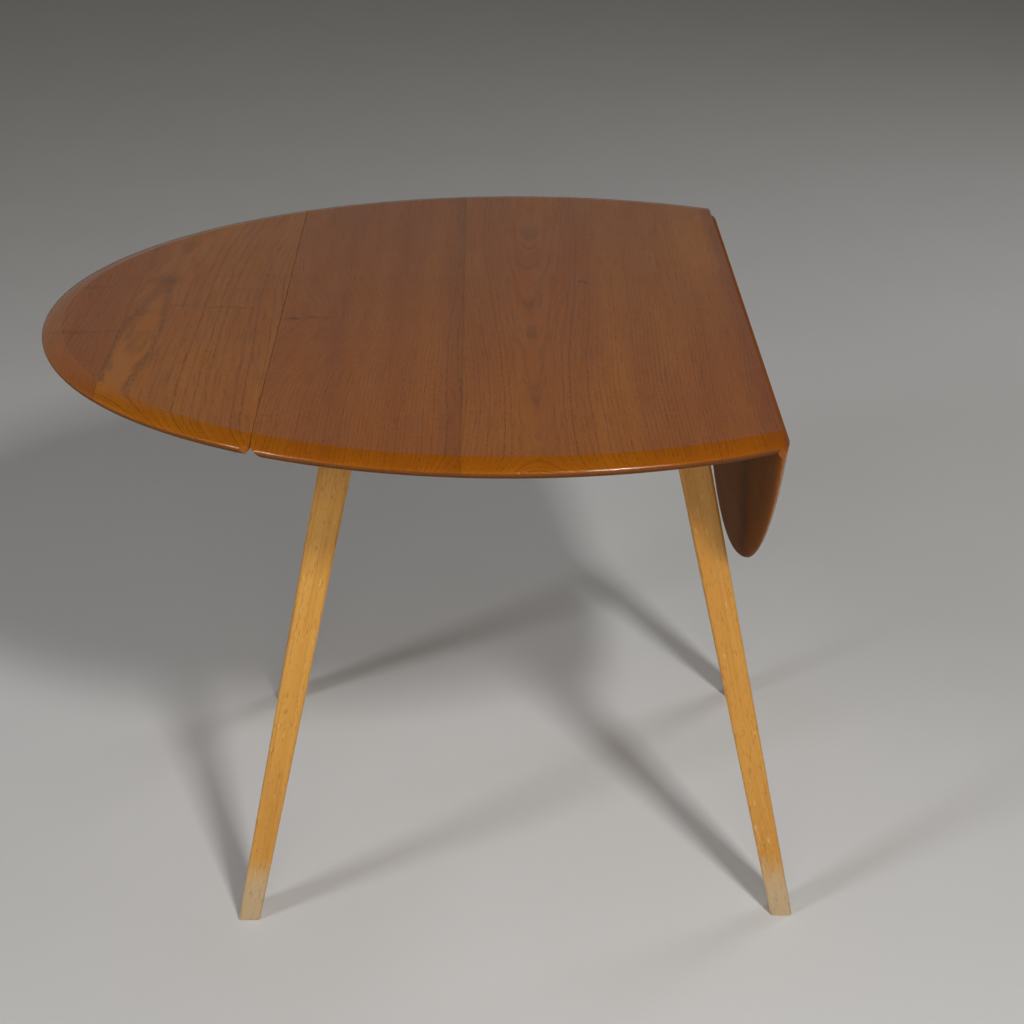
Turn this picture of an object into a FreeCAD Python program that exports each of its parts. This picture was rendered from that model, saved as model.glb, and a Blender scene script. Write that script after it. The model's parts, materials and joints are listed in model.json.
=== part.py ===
import FreeCAD, Part
import math
import os
import re
import Sketcher

# Drop-leaf dining table: an oval elm top on four splayed beech legs.
# X runs across the leaves, Y along the joints and Z up. The origin is the middle of the fixed
# top's upper face. The left leaf (-X) is raised and the right leaf (+X) hangs.

SIZES = {
    # oval top, in plan with both leaves up, and its edge
    "top_height": 715,
    "top_thick": 19,
    "half_length": 565,
    "half_width": 455,
    "joint_line": 278.5,
    "joint_gap": 0.3,
    "corner_round": 9,
    "panel_round": 9,
    "roll_width": 24,
    "roll_fall": 0.35,
    "nose_drop": 8.5,
    "under_width": 17,
    # legs: centre and size at the floor and under the top
    "foot_across": 334,
    "foot_along": 258,
    "foot_size": 27,
    "head_across": 185,
    "head_along": 178,
    "head_wide": 40,
    "head_deep": 37,
    "leg_round": 4,
    "foot_round": 1.5,
    # rails between the legs, dowelled to them
    "rail_height": 56,
    "rail_thick": 22,
    "rail_across": 192,
    "rail_along": 182,
    "groove_drop": 12,
    "groove_wide": 7,
    "groove_deep": 8,
    "dowel_radius": 4,
    "dowel_length": 32,
    "dowel_inset": 9,
    "dowel_pitch": 28,
    # corner braces and the bolts that pull the legs in
    "brace_reach": 50,
    "brace_thick": 20,
    "brace_height": 38,
    "bolt_radius": 4,
    "bolt_length": 76,
    "bolt_drop": 28,
    "bolt_end": 3,
    "nut_radius": 7.5,
    "nut_thick": 6.5,
    "washer_radius": 10,
    "washer_thick": 1.6,
    # buttons that hold the top to the rails
    "button_wide": 30,
    "button_long": 26,
    "button_thick": 18.6,
    "tongue_thick": 6,
    "tongue_long": 7,
    "button_gap": 0.4,
    "button_spread": 70,
    "button_side_spread": 80,
    # hinges between the mitred lower edges of a joint
    "pin_inset": 2,
    "pin_depth": 10,
    "mitre_gap": 1.98,
    "pin_radius": 1.5,
    "knuckle_radius": 3.2,
    "knuckle_long": 12,
    "knuckle_gap": 0.3,
    "running_gap": 0.05,
    "hinge_along": 225,
    "plate_wide": 13.5,
    "plate_thick": 1.6,
    "plate_notch": 3.8,
    "plate_screw_reach": 8.6,
    "plate_screw_pitch": 22,
    "housing_gap": 0.3,
    # prop arms that hold a raised leaf
    "prop_across": 243,
    "prop_drop": 59,
    "arm_long": 122,
    "arm_half": 9,
    "arm_wide": 45,
    "arm_gap": 0.3,
    "block_half": 36,
    "block_rise": 16,
    "block_end": 262,
    "slot_start": 229,
    "prop_pin": 4,
    "pin_head": 6.5,
    "pin_head_thick": 2,
    "stop_reach": 99,
    "stop_long": 18,
    "stop_half": 25,
    "stop_thick": 8,
    "stop_screw_spread": 15,
    "block_screw_spread": 25,
    "block_screw_rise": 8,
    # screws
    "shank_radius": 1.8,
    "screw_head": 3.6,
    "screw_long": 14,
    "long_screw": 32,
}

# formulas used in several places
FLOOR = "(-top_height)"
UNDERSIDE = "(-top_thick)"
LEG_RISE = "(top_height - top_thick)"
RAIL_BASE = "(-top_thick - rail_height)"
PIN_ACROSS = "(joint_line - pin_inset)"
PIN_HEIGHT = "(-pin_depth)"
PROP_HEIGHT = "(-prop_drop)"
RAIL_OUTER = "(rail_across + rail_thick / 2)"
RAIL_INNER = "(rail_across - rail_thick / 2)"
CROSS_INNER = "(rail_along - rail_thick / 2)"
TIP_RISE = "(prop_drop - top_thick - arm_gap - arm_half)"
DIAGONAL = math.sqrt(2)

UNDER_STEPS = 4
OVER_STEPS = 6
ENDS = (("front", -1), ("back", 1))
SIDES = (("left", -1), ("right", 1))
TURN = {
    "x": FreeCAD.Rotation(FreeCAD.Vector(0, 1, 0), 90),
    "y": FreeCAD.Rotation(FreeCAD.Vector(1, 0, 0), -90),
    "z": FreeCAD.Rotation(),
}

doc = FreeCAD.newDocument("DropLeafTable")
nodes = []


def fill_sheet():
    """One row for each driving dimension, its alias beside its value."""
    sheet = doc.addObject("Spreadsheet::Sheet", "dims")
    for row, (alias, value) in enumerate(SIZES.items(), 1):
        sheet.set(f"A{row}", alias)
        sheet.set(f"B{row}", str(value))
        sheet.setAlias(f"B{row}", alias)
    doc.recompute()


def bind(thing, path, text):
    """Bind a property to a formula whose words are aliases in the sheet."""
    def cell(word):
        return f"dims.{word[0]}" if word[0] in SIZES else word[0]
    thing.setExpression(path, re.sub(r"[a-z_]+", cell, str(text)))


def place(thing, x, y, z):
    for axis, text in zip("xyz", (x, y, z)):
        bind(thing, f"Placement.Base.{axis}", text)


def box(x, y, z):
    """Block between two bounds on each axis."""
    block = doc.addObject("Part::Box", "Block")
    for edge, (low, high) in zip(("Length", "Width", "Height"), (x, y, z)):
        bind(block, edge, f"({high}) - ({low})")
    place(block, x[0], y[0], z[0])
    return block


def rod(axis, radius, length, x, y, z):
    """Round bar that starts at a point and runs along +X, +Y or +Z."""
    bar = doc.addObject("Part::Cylinder", "Bar")
    bar.Placement.Rotation = TURN[axis]
    bind(bar, "Radius", radius)
    bind(bar, "Height", length)
    place(bar, x, y, z)
    return bar


def cone(base, tip, length, x, y, z):
    """Upright cone with the two end radii."""
    taper = doc.addObject("Part::Cone", "Taper")
    bind(taper, "Radius1", base)
    bind(taper, "Radius2", tip)
    bind(taper, "Height", length)
    place(taper, x, y, z)
    return taper


def fuse(parts):
    joined = doc.addObject("Part::MultiFuse", "Joined")
    joined.Shapes = parts
    return joined


def cut(base, tools):
    """Take tools that don't touch each other out of a base."""
    result = doc.addObject("Part::Cut", "Trimmed")
    result.Base = base
    result.Tool = tools[0] if len(tools) == 1 else fuse(tools)
    return result


def common(first, second):
    result = doc.addObject("Part::Common", "Overlap")
    result.Base = first
    result.Tool = second
    return result


def node(label, thing):
    thing.Label = label
    nodes.append(thing)
    return thing


def pieces(parts):
    """Identical pieces kept as separate solids."""
    together = doc.addObject("Part::Compound", "Pieces")
    together.Links = parts
    return together


def across(side, near, far):
    """Bounds on X of something between two distances out on one side."""
    return (near, far) if side > 0 else (f"-({far})", f"-({near})")


def turn_about_pin(thing, side, angle):
    """Turn a joined or grouped piece about its side's hinge pins, positive from +Z towards +X."""
    thing.Placement.Rotation = FreeCAD.Rotation(FreeCAD.Vector(0, 1, 0), angle)
    along, rise = math.cos(math.radians(angle)), math.sin(math.radians(angle))
    pin = f"({side} * {PIN_ACROSS})"
    bind(thing, "Placement.Base.x", f"{pin} * {1 - along:.6f} - {PIN_HEIGHT} * {rise:.6f}")
    bind(thing, "Placement.Base.z", f"{PIN_HEIGHT} * {1 - along:.6f} + {pin} * {rise:.6f}")
    return thing


def on_mitre(thing, side, out):
    """Tilt a piece built under a level face to the mitred face: out is 1 on the leaf, -1 on the panel."""
    return turn_about_pin(thing, side, 45 * side * out)


def leaf_node(label, thing, side):
    node(label, thing)
    if side > 0:
        turn_about_pin(thing, side, 90)


# ---- top ----

def oval_loft(profile):
    """Solid through ovals, each given by its inset from the outline and its height above the underside."""
    rings = []
    for inset, rise in profile:
        oval = doc.addObject("Part::Ellipse", "Ring")
        bind(oval, "MajorRadius", f"half_length - {inset}")
        bind(oval, "MinorRadius", f"half_width - {inset}")
        bind(oval, "Placement.Base.z", f"{UNDERSIDE} + {rise}")
        rings.append(oval)
    body = doc.addObject("Part::Loft", "OvalBody")
    body.Sections = rings
    body.Solid = True
    return body


def oval_board():
    """Oval board with a flat curve under its nose and a wide roll over it that starts at a crease."""
    under, over = [], []
    for step in range(UNDER_STEPS + 1):
        turn = math.radians(90 * step / UNDER_STEPS)
        under.append((f"under_width * {1 - math.sin(turn):.5f}",
                      f"(top_thick - nose_drop) * {1 - math.cos(turn):.5f}"))
    for step in range(OVER_STEPS + 1):
        turn = math.radians(90 * step / OVER_STEPS)
        over.append((f"roll_width * {1 - math.cos(turn):.5f}",
                     f"top_thick - nose_drop * (roll_fall * {math.cos(turn):.5f}"
                     f" + (1 - roll_fall) * {1 - math.sin(turn):.5f})"))
    return fuse([oval_loft(under), oval_loft(over)])


def slice_of(near, far):
    """Full-depth block across the top, between two bounds on X."""
    return box((near, far), ("-half_width - 5", "half_width + 5"), (f"{UNDERSIDE} - 5", "5"))


def mitre(side, out):
    """Waste under one side of a joint, up to the mitred face that carries the hinges."""
    waste = box((f"{side} * {PIN_ACROSS} - 2 * top_thick", f"{side} * {PIN_ACROSS} + 2 * top_thick"),
                ("-half_width", "half_width"),
                (f"{PIN_HEIGHT} + mitre_gap - 2 * top_thick", f"{PIN_HEIGHT} + mitre_gap"))
    return on_mitre(pieces([waste]), side, out)


def housings(side):
    """Grooves along a joint that clear the hinges' knuckles."""
    half = "(2.5 * knuckle_long + 2 * housing_gap)"
    return [
        rod("y", "knuckle_radius + housing_gap", f"2 * {half}",
            f"{side} * {PIN_ACROSS}", f"{end} * hinge_along - {half}", PIN_HEIGHT)
        for _, end in ENDS
    ]


def rounded(outline, edge, side, out):
    """Round the two corners between a joint and the oval: out is 1 on the leaf, -1 on the panel."""
    radius = "corner_round" if out > 0 else "panel_round"
    middle = f"({edge} + {out} * {radius})"
    level = f"sqrt(1 - ({middle} / half_length)^2)"
    slope = f"(half_width * {middle} / half_length^2 / {level})"
    lean = f"sqrt(1 + {slope}^2)"
    along = f"(half_width * {level} - {radius} * {lean})"
    touch = f"({middle} + {radius} * {slope} / {lean})"
    reach = (f"{edge} - 1", touch) if out > 0 else (touch, f"{edge} + 1")
    for _, end in ENDS:
        sides = (along, "half_width + 10") if end > 0 else ("-half_width - 10", f"-{along}")
        waste = box(across(side, *reach), sides, (f"{UNDERSIDE} - 8", "8"))
        keep = rod("z", radius, "top_thick + 20", f"{side} * {middle}", f"{end} * {along}", f"{UNDERSIDE} - 10")
        outline = cut(outline, [cut(waste, [keep])])
    return outline


def centre_panel():
    edge = "(joint_line - joint_gap)"
    outline = slice_of(f"-{edge}", edge)
    for _, side in SIDES:
        outline = rounded(outline, edge, side, -1)
    outline = cut(outline, [mitre(side, -1) for _, side in SIDES])
    outline = cut(outline, [groove for _, side in SIDES for groove in housings(side)])
    node("centre_panel", common(oval_board(), outline))


def leaf(name, side):
    edge = "(joint_line + joint_gap)"
    outline = rounded(slice_of(*across(side, edge, "half_length + 5")), edge, side, 1)
    outline = cut(cut(outline, [mitre(side, 1)]), housings(side))
    leaf_node(f"{name}_leaf", common(oval_board(), outline), side)


# ---- legs and rails ----

def section(body, rise, centre, wide, deep):
    """Rectangle with rounded corners about a centre, parallel to the floor."""
    sketch = body.newObject("Sketcher::SketchObject", "Section")
    plane = next(item for item in body.Origin.OriginFeatures if item.Role == "XY_Plane")
    sketch.AttachmentSupport = (plane, [""])
    sketch.MapMode = "FlatFace"
    for axis, text in zip("xyz", (*centre, rise)):
        bind(sketch, f"AttachmentOffset.Base.{axis}", text)
    middles = [FreeCAD.Vector(x, y, 0) for x, y in ((6, -6), (6, 6), (-6, 6), (-6, -6))]
    up = FreeCAD.Vector(0, 0, 1)
    for index, middle in enumerate(middles):
        start = math.radians(90 * index - 90)
        corner = Part.ArcOfCircle(Part.Circle(middle, up, 4), start, start + math.pi / 2)
        turned = start + math.pi / 2
        after = Part.ArcOfCircle(Part.Circle(middles[(index + 1) % 4], up, 4), turned, turned + math.pi / 2)
        sketch.addGeometry(corner)
        sketch.addGeometry(Part.LineSegment(corner.EndPoint, after.StartPoint))
    for index in range(4):
        arc, line, following = 2 * index, 2 * index + 1, (2 * index + 2) % 8
        sketch.addConstraint(Sketcher.Constraint("Tangent", arc, 2, line, 1))
        sketch.addConstraint(Sketcher.Constraint("Tangent", line, 2, following, 1))
        sketch.addConstraint(Sketcher.Constraint("Horizontal" if index % 2 else "Vertical", line))
        if index:
            sketch.addConstraint(Sketcher.Constraint("Equal", 0, arc))
    sketch.addConstraint(Sketcher.Constraint("Symmetric", 0, 3, 4, 3, -1, 1))
    sizes = (
        ("wide", Sketcher.Constraint("DistanceX", 6, 3, 0, 3, 12), f"{wide} - 2 * leg_round"),
        ("deep", Sketcher.Constraint("DistanceY", 0, 3, 2, 3, 12), f"{deep} - 2 * leg_round"),
        ("round", Sketcher.Constraint("Radius", 0, 4), "leg_round"),
    )
    for name, constraint, text in sizes:
        sketch.renameConstraint(sketch.addConstraint(constraint), name)
        bind(sketch, f"Constraints.{name}", text)
    return sketch


def leg(name, side, end):
    """Leg that tapers to the floor and splays both ways, with its corners and foot eased."""
    body = doc.addObject("PartDesign::Body", "Leg")
    foot_place = (f"{side} * foot_across", f"{end} * foot_along")
    head_place = (f"{side} * head_across", f"{end} * head_along")
    sole = section(body, FLOOR, foot_place, "(foot_size - 2 * foot_round)", "(foot_size - 2 * foot_round)")
    foot = section(body, f"{FLOOR} + foot_round", foot_place, "foot_size", "foot_size")
    head = section(body, UNDERSIDE, head_place, "head_wide", "head_deep")
    taper = body.newObject("PartDesign::AdditiveLoft", "Taper")
    taper.Profile = sole
    taper.Sections = [foot, head]
    taper.Ruled = True
    node(f"{end_name(end)}_{name}_leg", cut(body, leg_holes(side, end)))


def end_name(end):
    return "front" if end < 0 else "back"


def dowel(axis, side, end, level):
    """Dowel from a leg into the rail that runs along an axis."""
    height = f"{UNDERSIDE} - rail_height / 2 + {level} * dowel_pitch / 2"
    sign = side if axis == "x" else end
    start = f"({sign} * rail_{'across' if axis == 'x' else 'along'}"
    start += " + dowel_inset)" if sign < 0 else " - dowel_inset - dowel_length)"
    if axis == "x":
        return rod("x", "dowel_radius", "dowel_length", start, f"{end} * rail_along", height)
    return rod("y", "dowel_radius", "dowel_length", f"{side} * rail_across", start, height)


def dowels(axis, side, end):
    return [dowel(axis, side, end, level) for level in (-1, 1)]


def leg_holes(side, end):
    return dowels("x", side, end) + dowels("y", side, end) + [leg_bolt(side, end)]


def rail(label, axis, sign):
    """Rail between two legs, its ends cut to the legs' slope."""
    head, foot, wide = ("head_across", "foot_across", "head_wide")
    if axis == "y":
        head, foot, wide = ("head_along", "foot_along", "head_deep")
    top_half = f"({head} - {wide} / 2)"
    slope = f"(({foot} - foot_size / 2 - {top_half}) / {LEG_RISE})"
    low_half = f"({top_half} + {slope} * rail_height)"
    board = doc.addObject("Part::Wedge", "Rail")
    for path, text in (
        ("Xmin", f"-{low_half}"), ("Xmax", low_half), ("X2min", f"-{top_half}"), ("X2max", top_half),
        ("Ymin", "0"), ("Ymax", "rail_height"),
        ("Zmin", "-rail_thick / 2"), ("Zmax", "rail_thick / 2"),
        ("Z2min", "-rail_thick / 2"), ("Z2max", "rail_thick / 2"),
    ):
        bind(board, path, text)
    groove_height = (f"{UNDERSIDE} - groove_drop - groove_wide", f"{UNDERSIDE} - groove_drop")
    run = (f"-{low_half}", low_half)
    if axis == "x":
        board.Placement.Rotation = FreeCAD.Rotation(FreeCAD.Vector(1, 0, 0), 90)
        place(board, "0", f"{sign} * rail_along", RAIL_BASE)
        groove = box(run, across(sign, f"{CROSS_INNER} - 1", f"{CROSS_INNER} + groove_deep"), groove_height)
        holes = dowels("x", -1, sign) + dowels("x", 1, sign)
    else:
        board.Placement.Rotation = FreeCAD.Rotation(FreeCAD.Vector(1, 1, 1), 120)
        place(board, f"{sign} * rail_across", "0", RAIL_BASE)
        groove = box(across(sign, f"{RAIL_INNER} - 1", f"{RAIL_INNER} + groove_deep"), run, groove_height)
        holes = dowels("y", sign, -1) + dowels("y", sign, 1)
    node(label, cut(board, [groove] + holes))


def corner_bar(thing, side, end, inward, height):
    """Set a piece built along +X at a corner, pointing out at 45 degrees towards the leg."""
    angle = math.degrees(math.atan2(end, side))
    thing.Placement.Rotation = FreeCAD.Rotation(FreeCAD.Vector(0, 0, 1), angle) * TURN["x"]
    place(thing, f"{side} * ({RAIL_INNER} - ({inward}) / 2)",
          f"{end} * ({CROSS_INNER} - ({inward}) / 2)", height)
    return thing


def diagonal(kind, side, end, inward, sizes):
    """Primitive whose own Z points out along a corner's diagonal, on the bolt's line."""
    piece = doc.addObject(kind, "Diagonal")
    for path, text in sizes.items():
        bind(piece, path, text)
    return corner_bar(piece, side, end, inward, f"{UNDERSIDE} - bolt_drop")


def leg_bolt(side, end):
    inward = f"(brace_reach + (brace_thick + washer_thick + nut_thick + bolt_end) * {DIAGONAL:.5f})"
    return diagonal("Part::Cylinder", side, end, inward, {"Radius": "bolt_radius", "Height": "bolt_length"})


def nut(side, end):
    inward = f"(brace_reach + (brace_thick + washer_thick + nut_thick) * {DIAGONAL:.5f})"
    blank = diagonal("Part::Prism", side, end, inward, {"Circumradius": "nut_radius", "Height": "nut_thick"})
    return cut(blank, [leg_bolt(side, end)])


def washer(side, end):
    inward = f"(brace_reach + (brace_thick + washer_thick) * {DIAGONAL:.5f})"
    ring = {"Radius": "washer_radius", "Height": "washer_thick"}
    blank = diagonal("Part::Cylinder", side, end, inward, ring)
    return cut(blank, [leg_bolt(side, end)])


def brace(name, side, end):
    """Bar across a corner of the frame, mitred against both rails."""
    bar = doc.addObject("Part::Box", "Bar")
    bind(bar, "Length", "brace_thick")
    bind(bar, "Width", "brace_reach * 4")
    bind(bar, "Height", "brace_height")
    angle = math.degrees(math.atan2(end, side))
    bar.Placement.Rotation = FreeCAD.Rotation(FreeCAD.Vector(0, 0, 1), angle)
    inward = f"(brace_reach + brace_thick * {DIAGONAL:.5f}) / 2"
    place(bar, f"{side} * ({RAIL_INNER} - {inward}) + {end} * brace_reach * {DIAGONAL:.5f}",
          f"{end} * ({CROSS_INNER} - {inward}) - {side} * brace_reach * {DIAGONAL:.5f}",
          f"{UNDERSIDE} - bolt_drop - brace_height / 2")
    corner = box(across(side, "0", RAIL_INNER), across(end, "0", CROSS_INNER), (RAIL_BASE, UNDERSIDE))
    node(f"{end_name(end)}_{name}_brace", cut(common(bar, corner), [leg_bolt(side, end)]))


# ---- buttons ----

def screw(x, y, z, long="screw_long"):
    """Countersunk screw that points up, its head's face at a height."""
    head = cone("screw_head", "shank_radius", "plate_thick", x, y, z)
    shank = rod("z", "shank_radius", f"{long} - plate_thick", x, y, f"{z} + plate_thick")
    return fuse([head, shank])


BUTTON_SPOTS = [
    (axis, sign, f"({half} * {spread})")
    for axis, spread in (("x", "button_spread"), ("y", "button_side_spread"))
    for sign in (-1, 1) for half in (-1, 1)
]


def button(axis, sign, spot):
    """Block under the top with a tongue in the rail's groove."""
    inner = RAIL_INNER if axis == "x" else CROSS_INNER
    half = (f"{spot} - button_wide / 2", f"{spot} + button_wide / 2")
    body = across(sign, f"{inner} - button_long", f"{inner} - button_gap")
    lip = across(sign, f"{inner} - button_long", f"{inner} + tongue_long")
    height = (f"{UNDERSIDE} - button_thick", UNDERSIDE)
    lip_height = (f"{UNDERSIDE} - button_thick", f"{UNDERSIDE} - button_thick + tongue_thick")
    if axis == "x":
        return fuse([box(body, half, height), box(lip, half, lip_height)])
    return fuse([box(half, body, height), box(half, lip, lip_height)])


def button_screw(axis, sign, spot):
    inner = RAIL_INNER if axis == "x" else CROSS_INNER
    middle = f"{sign} * ({inner} - button_long / 2)"
    x, y = (middle, spot) if axis == "x" else (spot, middle)
    return screw(x, y, f"{UNDERSIDE} - button_thick", long="screw_long * 2")


# ---- hinges ----

KNUCKLES = range(-2, 3)


def plate_screws(side, end, out):
    """Three screws through a hinge plate, square to the mitred face."""
    x = f"{side} * ({PIN_ACROSS} + {out} * plate_screw_reach)"
    return [
        on_mitre(screw(x, f"{end} * hinge_along + {along} * plate_screw_pitch",
                       f"{PIN_HEIGHT} + mitre_gap - plate_thick"), side, out)
        for along in (-1, 0, 1)
    ]


def hinge_plate(side, end, out):
    """Plate with its own knuckles: out is -1 for the fixed plate and 1 for the leaf's."""
    level = (f"{PIN_HEIGHT} + mitre_gap - plate_thick", f"{PIN_HEIGHT} + mitre_gap")
    centre = f"{end} * hinge_along"
    half = "2.5 * knuckle_long"

    def reach(near, far):
        low, high = (near, far) if out > 0 else (f"-({far})", f"-({near})")
        return across(side, f"{PIN_ACROSS} + {low}", f"{PIN_ACROSS} + {high}")

    parts = [box(reach("plate_notch", "plate_wide"), (f"{centre} - {half}", f"{centre} + {half}"), level)]
    for number in KNUCKLES:
        if (number % 2 == 0) != (out < 0):
            continue
        start = f"({centre} + ({number} - 0.5) * knuckle_long + knuckle_gap / 2)"
        length = "(knuckle_long - knuckle_gap)"
        parts.append(box(reach("0", "plate_notch"), (start, f"{start} + {length}"), level))
        parts.append(rod("y", "knuckle_radius", length, f"{side} * {PIN_ACROSS}", start, PIN_HEIGHT))
    bore = rod("y", "pin_radius + running_gap", "6 * knuckle_long",
               f"{side} * {PIN_ACROSS}", f"{centre} - 3 * knuckle_long", PIN_HEIGHT)
    plate = on_mitre(cut(fuse(parts), [bore]), side, out)
    return cut(plate, plate_screws(side, end, out))


def hinge_pin(side, end):
    return rod("y", "pin_radius", "5 * knuckle_long",
               f"{side} * {PIN_ACROSS}", f"{end} * hinge_along - 2.5 * knuckle_long", PIN_HEIGHT)


# ---- prop arms ----

def prop_block(name, side):
    """Clevis on the outside of a side rail."""
    height = (f"{PROP_HEIGHT} - block_rise", f"{PROP_HEIGHT} + block_rise")
    block = box(across(side, RAIL_OUTER, "block_end"), ("-block_half", "block_half"), height)
    slot = box(across(side, "slot_start", "block_end + 1"),
               ("-arm_wide / 2 - arm_gap", "arm_wide / 2 + arm_gap"),
               (f"{PROP_HEIGHT} - block_rise - 1", f"{PROP_HEIGHT} + block_rise + 1"))
    bore = rod("y", "prop_pin", "4 * block_half", f"{side} * prop_across", "-2 * block_half", PROP_HEIGHT)
    node(f"{name}_prop_block", cut(cut(block, [slot]), [bore]))


def prop_pin(name, side):
    shaft = rod("y", "prop_pin", "2 * block_half", f"{side} * prop_across", "-block_half", PROP_HEIGHT)
    head = rod("y", "pin_head", "pin_head_thick",
               f"{side} * prop_across", "-block_half - pin_head_thick", PROP_HEIGHT)
    node(f"{name}_prop_pin", fuse([shaft, head]))


def prop_arm(name, side):
    """Arm that hangs from its pin, and on the raised side is turned up to the leaf's underside."""
    half = ("-arm_wide / 2", "arm_wide / 2")
    bar = box(("-arm_half", "arm_half"), half, ("-arm_long", "0"))
    ends = [rod("y", "arm_half", "arm_wide", "0", "-arm_wide / 2", rise) for rise in ("0", "-arm_long")]
    bore = rod("y", "prop_pin + running_gap", "2 * arm_wide", "0", "-arm_wide", "0")
    arm = cut(fuse([bar] + ends), [bore])
    if side < 0:
        arm.Placement.Rotation = FreeCAD.Rotation(FreeCAD.Vector(0, 1, 0), 90)
        bind(arm, "Placement.Rotation.Angle", f"90deg + asin({TIP_RISE} / arm_long)")
    place(arm, f"{side} * prop_across", "0", PROP_HEIGHT)
    node(f"{name}_prop_arm", arm)


def arm_stop(name, side):
    """Block on the leaf that the arm's tip jams against."""
    start = f"({PIN_ACROSS} + stop_reach)"
    stop = box(across(side, start, f"{start} + stop_long"), ("-stop_half", "stop_half"),
               (f"{UNDERSIDE} - stop_thick", UNDERSIDE))
    middle = f"{side} * ({start} + stop_long / 2)"
    screws = [screw(middle, f"{end} * stop_screw_spread", f"{UNDERSIDE} - stop_thick") for end in (-1, 1)]
    leaf_node(f"{name}_arm_stop", cut(stop, screws), side)
    leaf_node(f"{name}_stop_screws", pieces(screws), side)


def block_screw(side, end, level):
    """Screw from inside the side rail into the prop block."""
    y = f"{end} * block_screw_spread"
    z = f"{PROP_HEIGHT} + {level} * block_screw_rise"
    shank_start = RAIL_INNER if side > 0 else f"-{RAIL_INNER} - long_screw"
    head_start = f"{RAIL_INNER} - plate_thick" if side > 0 else f"-{RAIL_INNER}"
    return fuse([rod("x", "shank_radius", "long_screw", shank_start, y, z),
                 rod("x", "screw_head", "plate_thick", head_start, y, z)])


def build():
    fill_sheet()
    centre_panel()
    for name, side in SIDES:
        leaf(name, side)
    for name, side in SIDES:
        for _, end in ENDS:
            leg(name, side, end)
            brace(name, side, end)
    for name, end in ENDS:
        rail(f"{name}_rail", "x", end)
    for name, side in SIDES:
        rail(f"{name}_rail", "y", side)
    corners = [(side, end) for _, side in SIDES for _, end in ENDS]
    pegs = [bar for side, end in corners for axis in "xy" for bar in dowels(axis, side, end)]
    node("rail_dowels", pieces(pegs))
    node("leg_bolts", pieces([leg_bolt(side, end) for side, end in corners]))
    node("leg_bolt_washers", pieces([washer(side, end) for side, end in corners]))
    node("leg_bolt_nuts", pieces([nut(side, end) for side, end in corners]))
    node("top_buttons", pieces([button(*spot) for spot in BUTTON_SPOTS]))
    node("button_screws", pieces([button_screw(*spot) for spot in BUTTON_SPOTS]))
    for name, side in SIDES:
        for end_label, end in ENDS:
            hinge = f"{end_label}_{name}_hinge"
            node(f"{hinge}_fixed_plate", hinge_plate(side, end, -1))
            leaf_node(f"{hinge}_leaf_plate", hinge_plate(side, end, 1), side)
            node(f"{hinge}_pin", hinge_pin(side, end))
        leaf_screws = [part for _, end in ENDS for part in plate_screws(side, end, 1)]
        leaf_node(f"{name}_leaf_hinge_screws", pieces(leaf_screws), side)
        prop_block(name, side)
        prop_pin(name, side)
        prop_arm(name, side)
        arm_stop(name, side)
    panel_screws = [part for side, end in corners for part in plate_screws(side, end, -1)]
    node("panel_hinge_screws", pieces(panel_screws))
    block_screws = [block_screw(side, end, level) for side, end in corners for level in (-1, 1)]
    node("prop_block_screws", pieces(block_screws))


def write_parts():
    """Check every object, then write one STEP file for each node."""
    doc.recompute()
    failed = [item.Label for item in doc.Objects if {"Invalid", "Error"} & set(item.State)]
    failed += [item.Label for item in nodes if item.Shape.isNull() or not item.Shape.isValid()]
    if failed:
        raise RuntimeError(f"failed objects: {failed}")
    os.makedirs("parts", exist_ok=True)
    for item in nodes:
        item.Shape.exportStep(f"parts/{item.Label}.step")
        print(item.Label, len(item.Shape.Solids), round(item.Shape.Volume))


build()
write_parts()
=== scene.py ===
"""Studio scene and wood, brass and steel finishes for the oval drop-leaf table."""

import json
import math

import bpy
from mathutils import Euler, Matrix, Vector


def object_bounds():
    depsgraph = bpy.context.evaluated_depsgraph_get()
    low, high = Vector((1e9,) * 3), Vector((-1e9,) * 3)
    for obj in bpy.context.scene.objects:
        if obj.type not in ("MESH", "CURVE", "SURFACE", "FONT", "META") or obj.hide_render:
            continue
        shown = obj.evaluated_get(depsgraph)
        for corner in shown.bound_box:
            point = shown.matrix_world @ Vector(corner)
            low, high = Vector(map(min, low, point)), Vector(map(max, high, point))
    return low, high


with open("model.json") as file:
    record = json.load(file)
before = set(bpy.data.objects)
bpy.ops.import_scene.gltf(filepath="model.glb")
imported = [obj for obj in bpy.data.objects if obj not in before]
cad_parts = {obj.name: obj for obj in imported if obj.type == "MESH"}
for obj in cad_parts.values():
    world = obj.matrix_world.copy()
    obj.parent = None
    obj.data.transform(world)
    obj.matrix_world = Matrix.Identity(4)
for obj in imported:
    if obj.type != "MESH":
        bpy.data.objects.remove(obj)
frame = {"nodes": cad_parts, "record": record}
cad_low, cad_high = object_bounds()

FLOOR = cad_low.z

# ---------------------------------------------------------------- driving values

# The camera stands in front of the table, a little left of its middle, above it and looking down.
CAMERA_PLACE = (-0.032, -2.255, FLOOR + 1.569)
CAMERA_DOWN = 26.7
CAMERA_TURN = -0.79
CAMERA_LENS = 69.33

JOINT_LINE = 0.2785         # |x| of the joints between the fixed panel and the leaves
HINGE_PIN = Vector((0.2765, 0.0, -0.010))
PANEL_GLUE_LINE = -0.060    # x of the glue line in the fixed panel
LEAF_GLUE_LINE = 0.465      # |x| of the glue line in each leaf
LEG_LEAN_X = 0.2145         # how far a leg moves out for each unit it goes down
LEG_LEAN_Y = 0.1152


# ---------------------------------------------------------------- node helper

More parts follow.
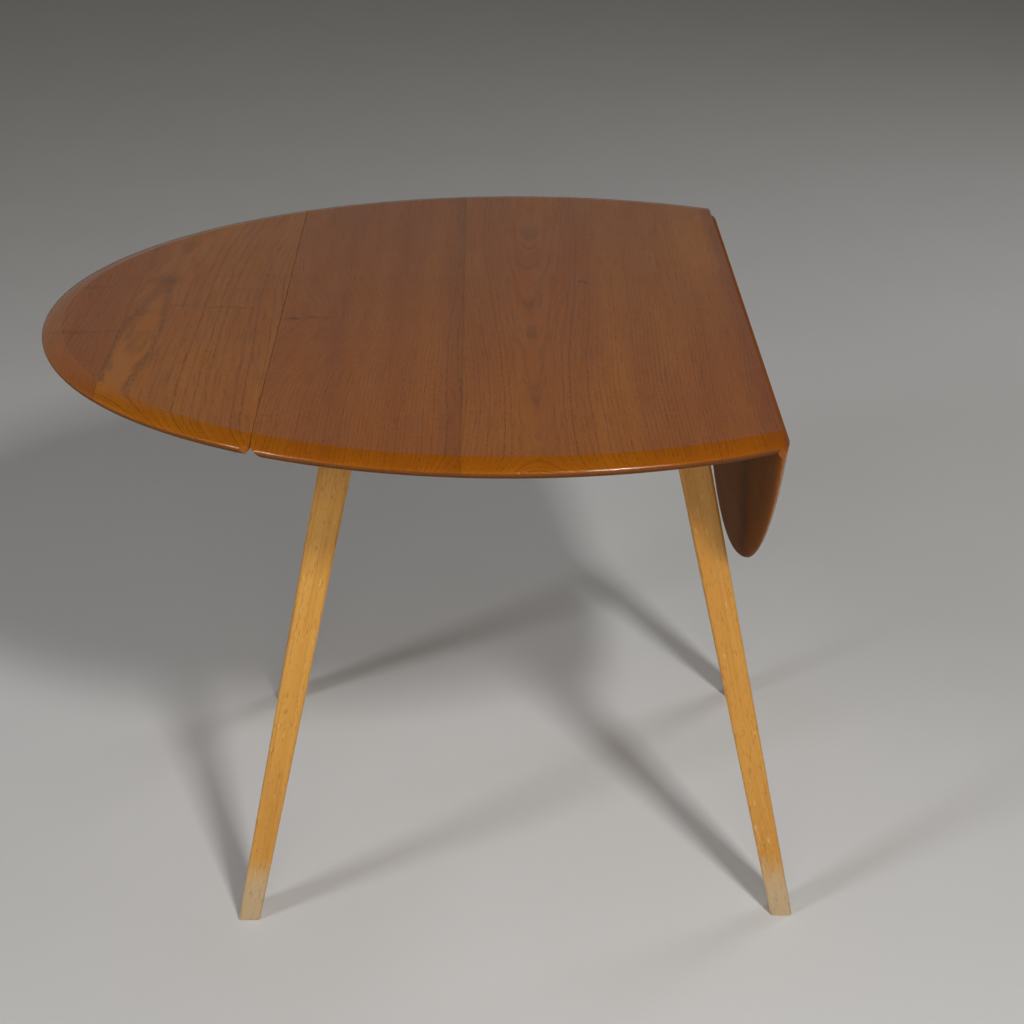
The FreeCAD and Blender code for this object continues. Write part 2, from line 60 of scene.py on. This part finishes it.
class Graph:
    """A material's node tree, with short calls that return output sockets."""

    def __init__(self, name):
        self.material = bpy.data.materials.new(name)
        self.material.use_nodes = True
        self.nodes = self.material.node_tree.nodes
        self.links = self.material.node_tree.links
        self.nodes.clear()

    def put(self, socket, value):
        if isinstance(value, bpy.types.NodeSocket):
            self.links.new(value, socket)
        elif isinstance(value, (tuple, list, Vector)) and len(value) == 3 and socket.type == "RGBA":
            socket.default_value = (*value, 1)
        else:
            socket.default_value = value

    def add(self, kind, inputs, **settings):
        made = self.nodes.new("ShaderNode" + kind)
        for key, value in settings.items():
            setattr(made, key, value)
        for key, value in inputs.items():
            self.put(made.inputs[key], value)
        return made

    def math(self, operation, *values):
        made = self.add("Math", {}, operation=operation)
        for socket, value in zip(made.inputs, values):
            self.put(socket, value)
        return made.outputs[0]

    def plus(self, a, b):
        return self.math("ADD", a, b)

    def minus(self, a, b):
        return self.math("SUBTRACT", a, b)

    def times(self, a, b):
        return self.math("MULTIPLY", a, b)

    def scaled(self, vector, factors):
        made = self.add("VectorMath", {}, operation="MULTIPLY")
        self.put(made.inputs[0], vector)
        made.inputs[1].default_value = factors
        return made.outputs[0]

    def split(self, vector):
        made = self.add("SeparateXYZ", {"Vector": vector})
        return made.outputs[0], made.outputs[1], made.outputs[2]

    def joined(self, x, y, z):
        return self.add("CombineXYZ", {"X": x, "Y": y, "Z": z}).outputs[0]

    def noise(self, vector, scale=1.0, detail=2.0, rough=0.5, distortion=0.0):
        made = self.add("TexNoise", {"Vector": vector, "Scale": scale, "Detail": detail,
                                     "Roughness": rough, "Distortion": distortion})
        return made.outputs["Fac"]

    def swing(self, vector, size, **options):
        """Noise about zero, from about -size to size."""
        return self.times(self.minus(self.noise(vector, **options), 0.5), 2 * size)

    def rise(self, value, low, high, to_low=0.0, to_high=1.0):
        """A smooth step from to_low at low to to_high at high."""
        made = self.add("MapRange", {"Value": value, "From Min": low, "From Max": high,
                                     "To Min": to_low, "To Max": to_high},
                        interpolation_type="SMOOTHSTEP")
        return made.outputs[0]

    def mix(self, share, a, b):
        made = self.add("Mix", {}, data_type="RGBA")
        self.put(made.inputs[0], share)
        self.put(made.inputs[6], a)
        self.put(made.inputs[7], b)
        return made.outputs[2]

    def stair(self, value, start, *steps):
        """A value that starts at start and jumps to each step's level where value passes its edge."""
        total, level = start, start
        for edge, new_level in steps:
            past = self.math("GREATER_THAN", value, edge)
            total = self.plus(total, self.times(past, new_level - level))
            level = new_level
        return total

    def dab(self, x, y, centre_x, centre_y, wide, long):
        """A soft oval spot."""
        return self.times(self.hump(x, centre_x, wide), self.hump(y, centre_y, long))

    def hump(self, value, centre, width):
        """1 at centre, falling to 0 over width each side, like a bell."""
        away = self.times(self.minus(value, centre), 1 / width)
        return self.math("EXPONENT", self.times(self.times(away, away), -1.0))

    def place(self):
        return self.add("TexCoord", {}).outputs["Object"]

    def bump(self, height, distance):
        return self.add("Bump", {"Height": height, "Distance": distance, "Strength": 1.0}).outputs["Normal"]

    def finish(self, **inputs):
        """Closes the tree with a Principled shader and returns the material."""
        shader = self.add("BsdfPrincipled", {})
        for key, value in inputs.items():
            self.put(shader.inputs[key.replace("_", " ")], value)
        output = self.add("OutputMaterial", {})
        self.links.new(shader.outputs[0], output.inputs[0])
        return self.material


# ---------------------------------------------------------------- elm

ELM_LIGHT = (0.400, 0.132, 0.0080)
ELM_MAIN = (0.325, 0.090, 0.0050)
ELM_RED = (0.250, 0.062, 0.0070)
ELM_DARK = (0.075, 0.018, 0.0022)
ELM_PORE = (0.026, 0.007, 0.0018)
# Painted light for the slopes of the moulded edge.
ELM_EDGE_PAINTED_LIGHT = (0.470, 0.145, 0.0030)
# Painted shade for faces turned down.
ELM_PAINTED_SHADE = (0.120, 0.036, 0.0020)
# The unvarnished underside's colour, darker than the wood partly as painted shade.
ELM_BARE_AND_PAINTED_SHADE = (0.200, 0.066, 0.0030)

BOARD_EDGES = (-LEAF_GLUE_LINE, -JOINT_LINE, PANEL_GLUE_LINE, JOINT_LINE, LEAF_GLUE_LINE)
RING_WIDTH = 0.0043
KNOT_Y = -0.030             # the knot whose rings swirl, near the fixed panel's left joint
KNOT_REACH = 0.011          # square of how far along Y its push falls to a half
KNOT_PUSH = 0.050

# Small knots and scars: x, y, half width, half length, depth of colour.
KNOTS = (
    (-0.263, -0.038, 0.0070, 0.0040, 0.75),
    (-0.240, -0.034, 0.0090, 0.0030, 0.60),
    (-0.221, -0.036, 0.0060, 0.0024, 0.45),
    (0.0855, 0.086, 0.0022, 0.0036, 0.90),
    (0.0925, 0.083, 0.0022, 0.0036, 0.90),
)
SCARS = (
    (-0.405, 0.010, 0.020, 0.0028, 0.50),
    (-0.345, -0.002, 0.026, 0.0030, 0.50),
    (-0.525, 0.068, 0.030, 0.0034, 0.34),
    (-0.515, -0.079, 0.046, 0.0036, 0.36),
    (-0.330, 0.118, 0.050, 0.0034, 0.20),
    (-0.320, 0.060, 0.040, 0.0030, 0.22),
)

# Upward part of a face's normal where the moulded edge starts and where the bare underside starts.
EDGE_STARTS, EDGE_SLOPES = 0.998, 0.985
UNDERSIDE_STARTS, UNDERSIDE = -0.90, -0.985


def elm(name, hanging=False):
    """Varnished elm. Its rings are shells round a trunk's axis that runs along Y under each board."""
    g = Graph(name)
    point = g.place()
    if hanging:
        turned = g.add("VectorRotate", {"Vector": point, "Center": HINGE_PIN, "Axis": (0, 1, 0),
                                        "Angle": -math.pi / 2}, rotation_type="AXIS_ANGLE")
        point = turned.outputs[0]
    x, y, z = g.split(point)

    def per_board(*levels):
        """One level for each board, from left to right."""
        return g.stair(x, levels[0], *zip(BOARD_EDGES, levels[1:]))

    # Each board has its own trunk: how far its axis lies to the side and below, and its own shift of noise.
    axis_x = per_board(-0.60, -0.43, -0.02, 0.02, 0.36, 0.61)
    axis_z = per_board(-0.10, -0.20, -0.05, -0.075, -0.12, -0.1)
    shift = per_board(1.7, 4.1, 7.3, 9.9, 12.4, 15.2)
    board = g.joined(g.plus(x, shift), y, z)

    # The swirling knot pushes the rings to the right.
    knot_y = g.minus(y, KNOT_Y)
    spread = g.math("DIVIDE", 1.0, g.plus(1.0, g.times(g.times(knot_y, knot_y), 1 / KNOT_REACH)))
    reach = g.times(g.rise(x, -0.09, -0.20), g.math("GREATER_THAN", x, -JOINT_LINE))
    knot_push = g.times(g.times(spread, reach), KNOT_PUSH)

    # Slow bends, then small waves along the grain.
    bend = g.swing(g.scaled(board, (3.0, 1.1, 3.0)), 0.045, detail=1.0)
    wave = g.swing(g.scaled(board, (26.0, 5.0, 26.0)), 0.0035, detail=2.0)
    ripple = g.swing(g.scaled(board, (120.0, 22.0, 120.0)), 0.0006, detail=1.0)
    moved_x = g.plus(g.minus(g.minus(x, axis_x), knot_push), g.plus(bend, g.plus(wave, ripple)))
    sag = g.swing(g.scaled(board, (1.5, 0.9, 1.5)), 0.040, detail=1.0)
    moved_z = g.plus(g.minus(z, axis_z), sag)
    radius = g.math("SQRT", g.plus(g.times(moved_x, moved_x), g.times(moved_z, moved_z)))

    ring = g.times(radius, 1 / RING_WIDTH)
    ring = g.plus(ring, g.swing(g.scaled(board, (14.0, 1.5, 14.0)), 0.8, detail=1.0))
    share = g.math("FRACT", ring)
    year = g.math("FLOOR", ring)
    strength = g.noise(g.joined(year, shift, 0.0), scale=0.83, detail=0.0)

    # Early wood is a dark porous line at the start of each year; late wood is plain with fine wavy lines.
    early = g.times(g.rise(share, 0.0, 0.10), g.rise(share, 0.42, 0.16))
    broken = g.noise(g.scaled(board, (420.0, 75.0, 420.0)), detail=2.0, rough=0.6)
    early = g.times(early, g.rise(broken, 0.36, 0.60, 0.25, 1.0))
    early = g.times(early, g.rise(strength, 0.30, 0.68, 0.25, 1.0))
    late_lines = g.noise(g.joined(g.times(ring, 5.3), g.times(y, 16.0), g.times(z, 40.0)), detail=1.0)

    pores = g.noise(g.scaled(board, (900.0, 190.0, 900.0)), detail=1.0, rough=0.4)
    pores = g.rise(pores, 0.55, 0.68)
    pores = g.times(pores, g.plus(0.42, g.times(early, 0.60)))

    # Broad tones: bands along the boards, and the heart's redder edge beside the right joint.
    bands = g.noise(g.scaled(board, (17.0, 1.0, 17.0)), detail=2.0, rough=0.55)
    clouds = g.noise(g.scaled(board, (5.5, 2.2, 5.5)), detail=1.5)
    redness = per_board(0.62, 0.40, 0.56, 0.50, 0.40, 0.6)
    redness = g.plus(redness, g.times(g.minus(bands, 0.5), 1.1))
    redness = g.plus(redness, g.times(g.hump(x, JOINT_LINE, 0.016), 0.55))
    golden = g.plus(g.times(g.minus(clouds, 0.5), 1.2), g.times(g.minus(bands, 0.5), -0.6))
    golden = g.plus(golden, per_board(0.30, 0.42, 0.30, 0.32, 0.5, 0.3))

    colour = g.mix(g.rise(golden, 0.0, 1.0), ELM_MAIN, ELM_LIGHT)
    colour = g.mix(g.rise(redness, 0.1, 1.1), colour, ELM_RED)
    colour = g.mix(g.times(g.rise(late_lines, 0.48, 0.70), 0.30), colour, ELM_DARK)
    colour = g.mix(g.times(early, 0.44), colour, ELM_DARK)

    # The glue lines, and the small knots and scars.
    glue = g.hump(x, PANEL_GLUE_LINE, 0.0011)
    glue = g.plus(glue, g.hump(g.math("ABSOLUTE", x), LEAF_GLUE_LINE, 0.0009))
    streak = g.hump(x, PANEL_GLUE_LINE - 0.008, 0.013)
    marks = 0.0
    for *spot, depth in KNOTS:
        marks = g.plus(g.times(g.dab(x, y, *spot), depth), marks)
    for *spot, depth in SCARS:
        bent = g.plus(y, g.swing(g.scaled(board, (18.0, 18.0, 18.0)), 0.014, detail=1.0))
        marks = g.plus(g.times(g.dab(x, bent, *spot), depth), marks)
    colour = g.mix(g.times(glue, 0.35), colour, ELM_DARK)
    colour = g.mix(g.times(streak, 0.14), colour, ELM_DARK)
    colour = g.mix(g.math("MINIMUM", marks, 0.9), colour, ELM_DARK)
    colour = g.mix(g.times(pores, 0.62), colour, ELM_PORE)

    # The pores and early wood lie a little lower under the varnish.
    height = g.plus(g.times(pores, -0.7), g.times(early, -0.22))
    height = g.plus(height, g.times(g.noise(point, scale=38.0, detail=2.0), 0.2))
    rough = g.rise(g.noise(g.scaled(board, (40.0, 9.0, 40.0)), detail=2.0), 0.3, 0.7, 0.22, 0.30)
    rough = g.plus(rough, g.times(pores, 0.12))

    # The moulded edge is smoother, and its slopes are painted lighter and more golden as painted light.
    # What faces down is dull and darkened with painted shade, and the flat underside has no varnish and a
    # darker colour, partly painted shade.
    facing = g.split(g.add("TexCoord", {}).outputs["Normal"])[0 if hanging else 2]
    bare = g.rise(facing, UNDERSIDE_STARTS, UNDERSIDE)
    # Painted light: the slopes of the edge are lightened towards a golden tone.
    colour = g.mix(g.rise(facing, EDGE_STARTS, EDGE_SLOPES, 0.0, 0.16), colour, ELM_EDGE_PAINTED_LIGHT)
    # Painted shade: faces turned down are darkened.
    colour = g.mix(g.rise(facing, 0.05, -0.50, 0.0, 0.80), colour, ELM_PAINTED_SHADE)
    # The unvarnished flat underside, darkened partly as painted shade.
    colour = g.mix(g.times(bare, 0.80), colour, g.mix(g.times(early, 0.5), ELM_BARE_AND_PAINTED_SHADE, ELM_DARK))
    rough = g.plus(rough, g.rise(facing, EDGE_STARTS, 0.988, 0.0, -0.12))
    rough = g.plus(rough, g.rise(facing, 0.40, 0.0, 0.0, 0.65))
    return g.finish(Base_Color=colour, Roughness=rough, Normal=g.bump(height, 0.00012),
                    IOR=1.45, Specular_IOR_Level=0.34)


# ---------------------------------------------------------------- beech

BEECH_LIGHT = (0.74, 0.385, 0.074)
BEECH_MAIN = (0.67, 0.315, 0.045)
BEECH_DEEP = (0.50, 0.200, 0.024)
BEECH_FLECK = (0.36, 0.130, 0.016)
BEECH_SPECK = (0.80, 0.58, 0.24)
BARE_WOOD = (0.60, 0.42, 0.225)
GREYED_WOOD = (0.46, 0.365, 0.240)
DIRT = (0.17, 0.125, 0.085)


def beech(name, along="Z", worn_from=None):
    """Varnished beech with short ray flecks along the grain. Below the height worn_from it is worn bare."""
    g = Graph(name)
    point = g.place()
    x, y, z = g.split(point)
    if along == "X":
        grain = g.joined(y, z, x)
    elif along == "Y":
        grain = g.joined(x, z, y)
    else:
        # The legs lean outwards, so the grain is sheared to run down each of them, and each has its own.
        side = g.plus(g.times(g.math("SIGN", x), 3.1), g.times(g.math("SIGN", y), 7.7))
        lean_x = g.minus(g.math("ABSOLUTE", x), g.times(z, -LEG_LEAN_X))
        lean_y = g.minus(g.math("ABSOLUTE", y), g.times(z, -LEG_LEAN_Y))
        grain = g.joined(g.plus(lean_x, side), lean_y, z)

    bands = g.noise(g.scaled(grain, (60.0, 60.0, 1.6)), detail=2.0, rough=0.55, distortion=0.3)
    lines = g.noise(g.scaled(grain, (330.0, 330.0, 5.0)), detail=2.0, rough=0.5)
    flecks = g.noise(g.scaled(grain, (720.0, 720.0, 95.0)), detail=1.0, rough=0.4)
    specks = g.noise(g.scaled(grain, (240.0, 240.0, 60.0)), detail=1.0, rough=0.4)
    clouds = g.noise(g.scaled(grain, (12.0, 12.0, 3.0)), detail=1.0)

    colour = g.mix(g.rise(bands, 0.30, 0.72), BEECH_MAIN, BEECH_LIGHT)
    colour = g.mix(g.rise(lines, 0.45, 0.80, 0.0, 0.55), colour, BEECH_DEEP)
    colour = g.mix(g.rise(clouds, 0.40, 0.75, 0.0, 0.30), colour, BEECH_DEEP)
    colour = g.mix(g.rise(flecks, 0.60, 0.74, 0.0, 0.62), colour, BEECH_FLECK)
    colour = g.mix(g.rise(specks, 0.68, 0.78, 0.0, 0.50), colour, BEECH_SPECK)
    height = g.plus(g.times(flecks, -0.6), g.times(lines, 0.35))
    rough = g.rise(g.noise(g.scaled(grain, (50.0, 50.0, 8.0)), detail=2.0), 0.3, 0.7, 0.30, 0.42)

    if worn_from is not None:
        patches = g.swing(g.scaled(grain, (55.0, 55.0, 14.0)), 0.034, detail=3.0, rough=0.65)
        fringe = g.swing(g.scaled(grain, (260.0, 260.0, 90.0)), 0.020, detail=2.0)
        ragged = g.plus(z, g.plus(patches, fringe))
        worn = g.rise(ragged, worn_from + 0.050, worn_from - 0.010)
        chips = g.rise(g.noise(g.scaled(grain, (170.0, 170.0, 70.0)), detail=3.0, rough=0.7), 0.60, 0.72)
        chips = g.times(chips, g.rise(z, worn_from + 0.14, worn_from + 0.02, 0.0, 0.75))
        worn = g.math("MAXIMUM", worn, chips)
        soiled = g.noise(g.scaled(grain, (420.0, 420.0, 75.0)), detail=3.0, rough=0.7)
        soiled = g.rise(soiled, 0.52, 0.80, 0.0, 0.75)
        greyed = g.rise(z, worn_from + 0.02, FLOOR + 0.004, 0.0, 0.30)
        bare = g.mix(greyed, BARE_WOOD, GREYED_WOOD)
        bare = g.mix(soiled, bare, DIRT)
        colour = g.mix(worn, colour, bare)
        rough = g.plus(rough, g.times(worn, 0.35))
        height = g.plus(height, g.times(worn, -1.2))
        height = g.plus(height, g.times(g.times(soiled, worn), -1.5))
    return g.finish(Base_Color=colour, Roughness=rough, Normal=g.bump(height, 0.00014), IOR=1.5)


# ---------------------------------------------------------------- metals

def metal(name, clean, dull):
    """Plain hardware metal, duller in patches, with fine scratches."""
    g = Graph(name)
    point = g.place()
    patches = g.noise(g.scaled(point, (70.0, 70.0, 70.0)), detail=3.0, rough=0.6)
    scratches = g.noise(g.scaled(point, (1500.0, 220.0, 1500.0)), detail=2.0)
    colour = g.mix(g.rise(patches, 0.35, 0.70), clean, dull)
    rough = g.plus(g.rise(patches, 0.3, 0.7, 0.30, 0.52), g.times(scratches, 0.10))
    return g.finish(Base_Color=colour, Roughness=rough, Metallic=1.0, Normal=g.bump(scratches, 0.00004))


# ---------------------------------------------------------------- stage

ROOM_DARK = (0.034, 0.025, 0.014)     # overhead
ROOM_FRONT = (0.190, 0.187, 0.180)    # low in front
ROOM_WALL = (0.264, 0.274, 0.262)     # behind and beside the table
WALL_FRONT, WALL_BACK = -0.50, 0.40   # the wall's light grows with the direction's y between these
WALL_TOP, WALL_FULL = 0.65, 0.46      # and stops above these heights
FRONT_TOP, FRONT_FULL = 0.40, 0.16    # the low light in front stops above these
FLOOR_RADIUS = 14.0
FLOOR_COLOUR = (0.78, 0.79, 0.80)
WARM, COOL, WHITE = (1.0, 0.97, 0.93), (0.97, 0.98, 1.0), (1.0, 1.0, 1.0)

# Soft lights: name, place, target, size, power, colour.
LIGHTS = (
    ("key", (1.05, -2.62, 2.14), (0.05, 0.0, -0.2), (0.42, 0.42), 63, WARM),
    ("side", (-2.4, -1.7, 1.5), (-0.1, 0.0, -0.2), (0.6, 0.6), 24, COOL),
    ("front", (-0.2, -3.3, 0.75), (0.0, 0.0, -0.3), (1.6, 1.0), 13, WARM),
    ("back", (2.6, 2.0, 2.0), (0.0, 0.0, -0.4), (1.4, 1.0), 18, WHITE),
)


def plain(name, colour, roughness):
    """A matt colour with faint cloudy patches."""
    g = Graph(name)
    speckle = g.noise(g.place(), scale=3.0, detail=3.0)
    return g.finish(Base_Color=g.mix(g.rise(speckle, 0.3, 0.7, 0.0, 0.05), colour, (0.5, 0.5, 0.5)),
                    Roughness=roughness)


def make_floor():
    bpy.ops.mesh.primitive_circle_add(vertices=96, radius=FLOOR_RADIUS, fill_type="NGON",
                                      location=(0, 0, FLOOR))
    floor = bpy.context.object
    floor.name = "studio_floor"
    floor.data.materials.append(plain("studio_floor", FLOOR_COLOUR, 0.9))


def make_world():
    """Soft light from the walls round the table, dark overhead."""
    world = bpy.data.worlds.new("studio")
    bpy.context.scene.world = world
    world.use_nodes = True
    nodes, links = world.node_tree.nodes, world.node_tree.links
    nodes.clear()
    way = nodes.new("ShaderNodeTexCoord")
    parts = nodes.new("ShaderNodeSeparateXYZ")
    links.new(way.outputs["Generated"], parts.inputs[0])

    def fade(axis, none, full):
        """0 to 1 as the direction's component passes from one value to the other."""
        made = nodes.new("ShaderNodeMapRange")
        made.interpolation_type = "SMOOTHSTEP"
        made.inputs["From Min"].default_value = none
        made.inputs["From Max"].default_value = full
        links.new(parts.outputs[axis], made.inputs[0])
        return made.outputs[0]

    both = nodes.new("ShaderNodeMath")
    both.operation = "MULTIPLY"
    links.new(fade(1, WALL_FRONT, WALL_BACK), both.inputs[0])
    links.new(fade(2, WALL_TOP, WALL_FULL), both.inputs[1])

    def blend(share, other):
        made = nodes.new("ShaderNodeMix")
        made.data_type = "RGBA"
        links.new(share, made.inputs[0])
        made.inputs[7].default_value = (*other, 1)
        return made

    low = blend(fade(2, FRONT_TOP, FRONT_FULL), ROOM_FRONT)
    low.inputs[6].default_value = (*ROOM_DARK, 1)
    colour = blend(both.outputs[0], ROOM_WALL)
    links.new(low.outputs[2], colour.inputs[6])
    back = nodes.new("ShaderNodeBackground")
    out = nodes.new("ShaderNodeOutputWorld")
    links.new(colour.outputs[2], back.inputs[0])
    links.new(back.outputs[0], out.inputs[0])


def make_light(name, place, target, size, power, colour):
    data = bpy.data.lights.new(name, "AREA")
    data.shape = "RECTANGLE"
    data.size, data.size_y = size
    data.energy = power
    data.color = colour
    light = bpy.data.objects.new(name, data)
    bpy.context.scene.collection.objects.link(light)
    light.location = place
    light.rotation_euler = (Vector(target) - Vector(place)).to_track_quat("-Z", "Y").to_euler()


def make_camera():
    data = bpy.data.cameras.new("camera")
    data.lens = CAMERA_LENS
    camera = bpy.data.objects.new("camera", data)
    bpy.context.scene.collection.objects.link(camera)
    camera.location = CAMERA_PLACE
    camera.rotation_euler = Euler((math.radians(90 - CAMERA_DOWN), 0, math.radians(CAMERA_TURN)))
    bpy.context.scene.camera = camera


make_camera()
make_world()
make_floor()
for light in LIGHTS:
    make_light(*light)
bpy.context.scene.view_settings.view_transform = "Standard"

# ---------------------------------------------------------------- finishes onto the CAD nodes

LEG_WEAR_TOP = FLOOR + 0.050
BRASS, BRASS_DULL = (0.62, 0.47, 0.20), (0.33, 0.23, 0.09)
STEEL, STEEL_DULL = (0.58, 0.57, 0.55), (0.36, 0.35, 0.34)
finishes = {
    "elm": elm("elm_varnished"),
    "elm_hanging": elm("elm_varnished_hanging", hanging=True),
    "leg": beech("beech_leg", worn_from=LEG_WEAR_TOP),
    "beech_across": beech("beech_across", along="X"),
    "beech_along": beech("beech_along", along="Y"),
    "brass": metal("hinge_brass", BRASS, BRASS_DULL),
    "steel": metal("zinc_steel", STEEL, STEEL_DULL),
}
ACROSS_NODES = ("front_rail", "back_rail", "left_prop_arm", "right_prop_arm",
                "left_prop_block", "right_prop_block", "top_buttons")   # grain along X


def finish_for(name, slot):
    if slot == "elm_top":
        return "elm_hanging" if name.startswith("right") else "elm"
    if slot == "hinge_brass":
        return "brass"
    if slot == "steel":
        return "steel"
    if name.endswith("_leg"):
        return "leg"
    return "beech_across" if name in ACROSS_NODES else "beech_along"


slots = {part["node"]: part["material_slot"] for part in frame["record"]["subparts"]}
for name, obj in frame["nodes"].items():
    material = finishes[finish_for(name, slots[name])]
    for index in range(len(obj.data.materials)):
        obj.data.materials[index] = material
